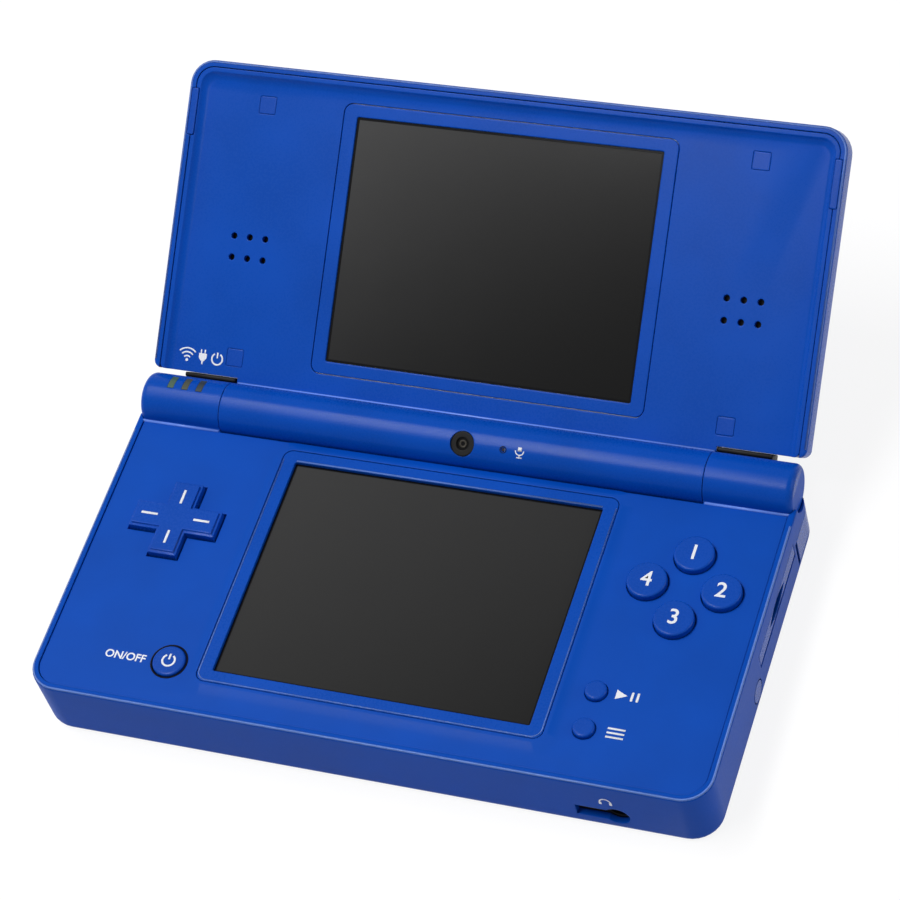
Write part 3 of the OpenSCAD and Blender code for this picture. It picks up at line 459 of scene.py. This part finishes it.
# %% Every solid gets the finish of its slot
for solid in nodes.values():
    slot = solid.data.materials[0].name.split(".")[0]
    solid.data.materials[0] = finishes[slot]
    solid["finish"] = slot
nodes["upper_glass"].data.materials[0] = finishes["upper_glass"]
print("dressed solids:", len(nodes))

# %% [markdown]
# ## Softened edges
# A moulding has no sharp edge: each one catches a thin line of light. The solids come as loose triangles
# with sharp edges. A copy is merged, its flat triangles are joined, and its outer edges are bevelled by a
# tenth or two of a millimetre. Weighted normals then keep the large faces flat and the bevels round.

# %% Helpers for every new piece
sharp_angle = math.radians(38.0)


def round_edges(shape, edges, width, segments):
    """Bevels edges of a bmesh with a round profile."""
    bmesh.ops.bevel(shape, geom=edges, offset=width, offset_type="OFFSET", segments=segments, profile=0.5,
                    affect="EDGES", clamp_overlap=True, material=-1)


def new_piece(name, shape, finish, body, smooth=True):
    """Turns a finished bmesh into a piece at the origin, which rides on a body."""
    mesh = bpy.data.meshes.new(name)
    shape.to_mesh(mesh)
    shape.free()
    if smooth:
        mesh.polygons.foreach_set("use_smooth", [True] * len(mesh.polygons))
    mesh.materials.append(finish)
    piece = bpy.data.objects.new(name, mesh)
    scene.collection.objects.link(piece)
    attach(piece, body)
    print(name, "made:", len(mesh.polygons), "faces")
    return piece


# %% A copy of a solid with softened edges
def softened(node, width, segments=2, finish=None):
    """Replaces a solid by a copy whose outer edges are bevelled by `width` metres."""
    solid = nodes[node]
    shape = bmesh.new()
    shape.from_mesh(solid.data)
    bmesh.ops.remove_doubles(shape, verts=shape.verts, dist=0.002 * mm)
    bmesh.ops.dissolve_limit(shape, angle_limit=math.radians(0.6), verts=shape.verts, edges=shape.edges)
    outer = [edge for edge in shape.edges
             if len(edge.link_faces) == 2 and edge.is_convex and edge.calc_face_angle() > sharp_angle]
    round_edges(shape, outer, width, segments)
    piece = new_piece(node + "_soft", shape, finishes[finish or solid["finish"]], solid["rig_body"])
    piece.data.set_sharp_from_angle(angle=sharp_angle + math.radians(6.0))
    weigh = piece.modifiers.new("weighted normals", "WEIGHTED_NORMAL")
    weigh.keep_sharp = True
    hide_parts(node)


# %% Shells, faces, frames and keys with softened edges
shell_edge, frame_edge, key_edge = 0.3 * mm, 0.34 * mm, 0.12 * mm
base_plate_edge, lid_plate_edge = 0.2 * mm, 0.24 * mm
softened("base_shell", shell_edge, 3, "base_blue")
softened("base_face", base_plate_edge, 3, "plate_blue")
softened("lid_shell", shell_edge, 3)
softened("lid_face", lid_plate_edge, 3)
for node in ("lower_frame", "upper_frame"):
    softened(node, frame_edge, 3)
for node in ("direction_pad", "memory_cover", "shoulder_left", "shoulder_right", "volume_up", "volume_down",
             "rim_bumpers", "battery_cover", "screw_plugs"):
    softened(node, key_edge)

# %% [markdown]
# ## Seams of the hinge
# Between the lid's lower corners and the knuckles a dark block in black moulding fills most of the slot:
# painted shade where the slot lies in shadow. Where the knuckles and the barrel meet the plates, a thin
# round bead in a paler blue is a painted highlight along the moulding. All of these are bars along X: a
# profile is drawn once, in the plane of the base or of the open lid, and extruded.


# %% Bars along X
def arc(x, y, radius, start, stop, steps=14):
    """Points on an arc, angles in degrees from the right, turning left."""
    turns = [math.radians(start + (stop - start) * i / steps) for i in range(steps + 1)]
    return [(x + radius * math.cos(turn), y + radius * math.sin(turn)) for turn in turns]


def ring(x, y, radius, steps=14):
    """Points round a circle. The outline closes itself, so the last point stops short of the first."""
    return arc(x, y, radius, 0, 345, steps)


def bar(name, profile, where, ends, slot, body, rounding=0.0):
    """A bar between two ends along X. Its profile lists points, in millimetres, in the plane that `where`
    describes. Its corners are rounded where `rounding` says how far."""
    low_x, high_x = sorted(ends)
    shape = bmesh.new()
    outline = [shape.verts.new(where(low_x * mm, first * mm, second * mm)) for first, second in profile]
    pushed = bmesh.ops.extrude_face_region(shape, geom=[shape.faces.new(outline)])
    moved = [item for item in pushed["geom"] if isinstance(item, bmesh.types.BMVert)]
    bmesh.ops.translate(shape, verts=moved, vec=((high_x - low_x) * mm, 0.0, 0.0))
    bmesh.ops.recalc_face_normals(shape, faces=shape.faces)
    if rounding:
        corners = [edge for edge in shape.edges if edge.calc_face_angle(0.0) > sharp_angle]
        round_edges(shape, corners, rounding * mm, 3)
    new_piece(name, shape, finishes[slot], body)


# %% Painted slot shade and highlight beads
knuckle_length, heel_clearance = 17.4, 6.3
knuckle_start = knuckle_end - knuckle_length
# Dark blocks in the slots beside the knuckles: painted shade where the slot lies in shadow.
slot_shade_end = knuckle_end - heel_clearance
slot_shade_gap, slot_shade_up, slot_shade_back = 0.25, 6.2, 5.8
hollow = arc(0, 0, barrel_radius + slot_shade_gap, 15, 42, 8)
slot_shade = hollow + [(4.2, slot_shade_back), (slot_shade_up, slot_shade_back), (slot_shade_up, 1.45)]
# Round beads in the paler blue: painted highlights along the seams of knuckles and barrel.
knuckle_bead_radius, lid_bead_radius = 0.3, 0.24
knuckle_bead = ring(barrel_radius + 0.12, -0.28, knuckle_bead_radius)
lid_bead = ring(barrel_radius, 1.93, lid_bead_radius)
lid_bead_end = knuckle_start - 0.4
for side, name in ((-1, "left"), (1, "right")):
    slot_shade_ends = (side * (knuckle_start + 0.1), side * slot_shade_end)
    bead_ends = (side * (knuckle_start + 0.3), side * (knuckle_end - 0.5))
    bar("seal_" + name, slot_shade, in_lid, slot_shade_ends, "black_plastic", "lid", rounding=0.25)
    bar("knuckle_bead_" + name, knuckle_bead, over_base, bead_ends, "bead_blue", "base")
bar("lid_bead", lid_bead, in_lid, (-lid_bead_end, lid_bead_end), "bead_blue", "lid")

# %% [markdown]
# ## Printed marks
# The marks are white ink: plain numbers on the four round keys, ON/OFF beside the power button and simple
# pictograms elsewhere. Text and strokes start as curves, because a curve has a width and a round end for
# free. Each becomes a mesh, is put in place, and is then dropped straight onto the surface that carries
# it, so that it lies flat on a plate and bends round the barrel.


# %% White ink and painted shade
def white_ink(name):
    """White print, a little thinner in patches."""
    f = Finish(name)
    patches = f.noise(f.where(), 0.4 * mm, 3.0, 0.6)
    tone = f.blend(patches, linear(226, 230, 238), linear(248, 249, 252))
    return f.done({"Base Color": tone, "Roughness": patches * 0.2 + 0.4, "Specular IOR Level": 0.3})


finishes["ink"] = white_ink("white ink")
# A near-black blue for painted shade in gaps and holes.
finishes["dark_paint"] = plastic("painted shade", linear(4, 8, 26), 0.5, gloss=0.1)
finishes["lens_ring"] = plastic("grey lens ring", linear(74, 70, 62), 0.35, grain=0.05, edge=0.2, gloss=0.4)
ink_height = 0.02 * mm
print("finishes with inks:", len(finishes))


# %% Curves for strokes and letters, drawn in millimetres
def stroke(points, width, closed=False):
    """A line of even width through points."""
    curve = bpy.data.curves.new("stroke", "CURVE")
    curve.dimensions = "3D"
    curve.bevel_depth = width * mm / 2
    curve.bevel_resolution = 2
    curve.use_fill_caps = True
    line = curve.splines.new("POLY")
    line.points.add(len(points) - 1)
    for point, (x, y) in zip(line.points, points):
        point.co = (x * mm, y * mm, 0.0, 1.0)
    line.use_cyclic_u = closed
    return curve


def filled(points):
    """A filled shape inside the points."""
    curve = stroke(points, 0.0, closed=True)
    curve.dimensions = "2D"
    curve.fill_mode = "BOTH"
    curve.extrude = ink_height
    return curve


def letters(text, size, weight=0.05):
    """Centred text. `weight` thickens its strokes."""
    curve = bpy.data.curves.new("letters", "FONT")
    curve.body = text
    curve.size = size * mm
    curve.align_x = "CENTER"
    curve.align_y = "CENTER"
    curve.offset = weight * mm
    curve.extrude = ink_height
    curve.resolution_u = 4
    return curve


# %% Printing: curve to mesh, into place, down onto the surface
def surface_tree(node):
    """A search tree over the solid that carries a print."""
    mesh = nodes[node].data
    return BVHTree.FromPolygons([corner.co.copy() for corner in mesh.vertices],
                                [list(face.vertices) for face in mesh.polygons])


def printed(name, curves, place, carrier, finish="ink"):
    """Prints curves, drawn in X and Y, where `place` puts them. Its Z axis points away from the surface."""
    tree = surface_tree(carrier)
    outward = place.to_3x3().col[2].normalized()
    shape = bmesh.new()
    for curve in curves:
        holder = bpy.data.objects.new("drawing", curve)
        scene.collection.objects.link(holder)
        bpy.context.view_layer.update()
        drawn = holder.evaluated_get(bpy.context.evaluated_depsgraph_get())
        shape.from_mesh(bpy.data.meshes.new_from_object(drawn))
        bpy.data.objects.remove(holder)
    bmesh.ops.remove_doubles(shape, verts=shape.verts, dist=0.001 * mm)
    for corner in shape.verts:
        height = max(-ink_height, min(ink_height, corner.co.z))
        spot = place @ Vector((corner.co.x, corner.co.y, 0.0))
        ground = tree.ray_cast(spot + outward * 3 * mm, -outward)[0] or spot
        corner.co = ground + outward * (height + ink_height)
    new_piece(name, shape, finishes[finish], nodes[carrier]["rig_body"], smooth=False)


# %% Places for prints, in millimetres
def on_base(x, y, z):
    """Seen from above, on the base."""
    return Matrix.Translation((x * mm, y * mm, z * mm))


def on_top(node):
    """In the middle of a solid's top."""
    middle = middle_mm(node)
    return on_base(middle.x, middle.y, box_mm(node)[1].z)


def on_lid(x, up, back):
    """On the inside of the open lid, `up` from the hinge axis and `back` behind the lid's rim."""
    spot = in_lid(x * mm, up * mm, back * mm)
    columns = (Vector((1, 0, 0)), lid_up, -lid_back, spot)
    return Matrix([[column[row] for column in columns] for row in range(3)] + [[0, 0, 0, 1]])


def on_front_wall(x, z):
    """On the front wall of the base."""
    return Matrix(((1, 0, 0, x * mm), (0, 0, -1, base_low.y * mm), (0, 1, 0, z * mm), (0, 0, 0, 1)))


# %% [markdown]
# ## Painted highlights along the rims
# Thin pale lines of light run along the rims. They are painted highlights, printed like the marks in a
# lighter, glossier blue over the rounded edge of each rim.


# %% Painted highlight lines along the rims of base, lid and touch screen
def turned_line(half_width, level, corner, start, side):
    """Points up one side, round two corners and down the other. `side` is -1 for a front edge, 1 for a top
    edge."""
    left = arc(corner - half_width, level - side * corner, corner, 180, 180 - side * 90)
    right = arc(half_width - corner, level - side * corner, corner, side * 90, 0)
    return [(-half_width, start)] + left + right + [(half_width, start)]


inset, lid_rim = 0.33, 0.3
base_corner, base_line_end = 6.0, 24.0
lid_corner, lid_line_end = 5.0, 8.0
base_line = turned_line(base_high.x - inset, base_low.y + inset, base_corner - inset, base_line_end, -1)
printed("base_rim_highlight", [stroke(base_line, 0.42)], on_base(0, 0, base_high.z), "base_shell", "bead_blue")
lid_line = turned_line(lid_high.x - inset, lid_length - inset, lid_corner - inset, lid_line_end, 1)
printed("lid_rim_highlight", [stroke(lid_line, 0.38)], on_lid(0, 0, lid_rim), "lid_shell", "bead_blue")

half_frame = box_mm("lower_frame")[1] - middle_mm("lower_frame")
half_x, half_y = half_frame.x, half_frame.y
frame_corner, frame_inset = 2.0, 0.25
sill_x, sill_y = half_x - 3.0, half_y - 2.25
edge_line = turned_line(half_x - frame_inset, -half_y + frame_inset, frame_corner, half_y - 2.2, -1)
sill_line = [(-sill_x, sill_y), (sill_x, sill_y)]
printed("touch_frame_highlight", [stroke(edge_line, 0.24), stroke(sill_line, 0.36)], on_top("lower_frame"),
        "lower_frame", "bead_blue")

# %% [markdown]
# ## The marks one by one
# Each mark is a few strokes or a filled shape, drawn around its own middle. Its place is worked out from
# the key, the socket or the light strips beside it, so that it follows them.

# %% Marks on the direction pad
dash = 0.55
dashes = [[(0, 3.2), (0, 6.4)], [(0, -3.2), (0, -6.2)], [(-7.2, 0), (-3.7, 0)], [(7.4, 0), (4.0, 0)]]
printed("pad_dashes", [stroke(points, dash) for points in dashes], on_top("direction_pad"), "direction_pad")

# %% Numbers on the round keys
number_size = 4.6
for number, side in enumerate(("north", "east", "south", "west"), start=1):
    printed("number_" + side, [letters(str(number), number_size)], on_top("button_" + side), "button_" + side)


# %% Marks beside the small keys
def standby(radius, width):
    """An open ring with an upright stroke: the usual standby mark."""
    open_ring = arc(0, 0, radius, 122, 418, 24)
    return [stroke(open_ring, width), stroke([(0, 0.15 * radius), (0, 1.15 * radius)], width)]


plate_top = 14.7
power, start, select = (middle_mm(name + "_button") for name in ("power", "start", "select"))
beside_x, beside_y = 6.0, 0.15
label_x, label_y, label_size = -9.1, -0.45, 2.35
printed("standby_mark", standby(1.25, 0.42), on_top("power_button"), "power_button")
# A dark ring round the power key: painted shade in its gap.
printed("power_gap_shade", [stroke(arc(0, 0, 3.6, 0, 352, 44), 0.36, closed=True)],
        on_base(power.x, power.y, plate_top), "base_face", "dark_paint")
printed("on_off_mark", [letters("ON/OFF", label_size, 0.04)],
        on_base(power.x + label_x, power.y + label_y, plate_top), "base_face")
play = [filled([(-2.2, -1.0), (0.0, 0.0), (-2.2, 1.0)]), stroke([(0.9, -0.95), (0.9, 0.95)], 0.5),
        stroke([(2.0, -0.95), (2.0, 0.95)], 0.5)]
printed("play_pause_mark", play, on_base(start.x + beside_x, start.y + beside_y, plate_top), "base_face")
rows = [stroke([(-1.7, y), (1.7, y)], 0.42) for y in (-0.9, 0.0, 0.9)]
printed("list_mark", rows, on_base(select.x + beside_x, select.y + beside_y, plate_top), "base_face")

# %% Mark above the audio socket
headphones = [stroke(arc(0, -0.1, 1.05, 0, 180), 0.3), stroke([(-1.0, -0.15), (-1.0, -0.95)], 0.55),
              stroke([(1.0, -0.15), (1.0, -0.95)], 0.55)]
mark_x, mark_z = middle_mm("audio_socket").x + 1.0, box_mm("audio_socket")[1].z + 1.9
printed("headphone_mark", headphones, on_front_wall(mark_x, mark_z), "base_shell")

# %% Marks above the light strips
lights_x = box_mm("status_lights")[0].x
signal = [stroke(arc(0, -1.2, radius, 45, 135), 0.32) for radius in (0.9, 1.7, 2.5)]
signal.append(filled(ring(0, -1.1, 0.3, 12)))
charger = [filled([(-0.85, 0.6), (0.85, 0.6), (0.85, -0.3), (0.35, -0.95), (-0.35, -0.95), (-0.85, -0.3)]),
           stroke([(-0.42, 0.6), (-0.42, 1.35)], 0.3), stroke([(0.42, 0.6), (0.42, 1.35)], 0.3),
           stroke([(0, -0.9), (0, -1.6)], 0.34)]
for name, drawing, along, up in (("signal_mark", signal, 0.6, 9.7), ("charging_mark", charger, 4.0, 9.7),
                                 ("lid_standby_mark", standby(1.15, 0.36), 7.2, 9.5)):
    printed(name, drawing, on_lid(lights_x + along, up, 2.0), "lid_face")

# %% Microphone mark, painted shade round its hole and the eye of the camera, on the barrel
microphone_x, camera_x = middle_mm("microphone").x, middle_mm("inner_camera").x
capsule = [stroke([(0, 0.1), (0, 0.9)], 0.8), stroke(arc(0, 0.2, 0.85, 180, 360), 0.24),
           stroke([(0, -0.65), (0, -1.15)], 0.24), stroke([(-0.55, -1.15), (0.55, -1.15)], 0.24)]
printed("microphone_mark", capsule, on_lid(microphone_x + 3.4, 0.0, -barrel_radius), "lid_shell")
# A dark ring round the microphone hole: painted shade that makes the hole look wider.
printed("microphone_hole_shade", [stroke(ring(0, 0, 0.55, 20), 0.34, closed=True)],
        on_lid(microphone_x, 0.0, -barrel_radius), "lid_shell", "dark_paint")
printed("camera_eye", [stroke(ring(0, 0, 0.62, 20), 0.42, closed=True)],
        on_lid(camera_x, 0.0, -barrel_radius), "inner_camera", "lens_ring")

# %% [markdown]
# ## Floor and light
# A white table that keeps a soft shadow, a long soft box overhead, one from the left and one low on the
# right, which puts the pale sheen on the right wall. Camera and mirror rays see a white world; the light
# that falls on the object stays plain.

# %% Floor
floor_half, floor_drop = 4.0, 0.05 * mm
floor_shape = bmesh.new()
bmesh.ops.create_grid(floor_shape, x_segments=1, y_segments=1, size=floor_half)
bmesh.ops.translate(floor_shape, verts=floor_shape.verts, vec=(0.0, 0.0, -floor_drop))
floor_mesh = bpy.data.meshes.new("floor")
floor_shape.to_mesh(floor_mesh)
floor_shape.free()
floor = bpy.data.objects.new("floor", floor_mesh)
scene.collection.objects.link(floor)

paper_white, seen_paper, seen_glow = 0.8, 0.16, 0.88
paper = Finish("white paper")
seen = paper.seen()
paper_tone = paper.blend(seen, (paper_white,) * 3, (seen_paper,) * 3)
matt = paper.add("ShaderNodeBsdfDiffuse", {}, {"Color": paper_tone})
glow = paper.add("ShaderNodeEmission", {}, {"Color": (1.0, 1.0, 1.0), "Strength": seen * seen_glow})
floor_mesh.materials.append(paper.close(paper.add("ShaderNodeAddShader", {}, {0: matt, 1: glow})))
print("floor:", 2 * floor_half, "m wide")

# %% World
white, dim = 1.0, 0.2
room = Finish("white room", bpy.data.worlds, "ShaderNodeOutputWorld")
room_level = room.seen() * (white - dim) + dim
sky = room.add("ShaderNodeBackground", {}, {"Color": (white, white, white), "Strength": room_level})
scene.world = room.close(sky)
print("world:", scene.world.name)


# %% Lamps
def soft_box(name, place, width, depth, share):
    """A rectangular lamp that looks at the console and adds `share` to a surface that faces it."""
    lamp = bpy.data.lights.new(name, "AREA")
    lamp.shape = "RECTANGLE"
    lamp.size = width
    lamp.size_y = depth
    away = Vector(place) - Vector(console_middle)
    lamp.energy = share * math.pi ** 2 * away.length_squared
    holder = bpy.data.objects.new(name, lamp)
    holder.location = place
    holder.rotation_euler = away.to_track_quat("Z", "Y").to_euler()
    scene.collection.objects.link(holder)
    print(name, "gives", share)


console_middle = (0.0, 0.03, 0.02)
soft_box("overhead strip", (-0.35, -0.07, 1.05), 0.8, 0.2, 0.78)
soft_box("left box", (-1.0, 0.1, 0.6), 0.6, 0.6, 0.10)
soft_box("right box", (1.1, 0.2, 0.3), 0.6, 0.6, 0.22)
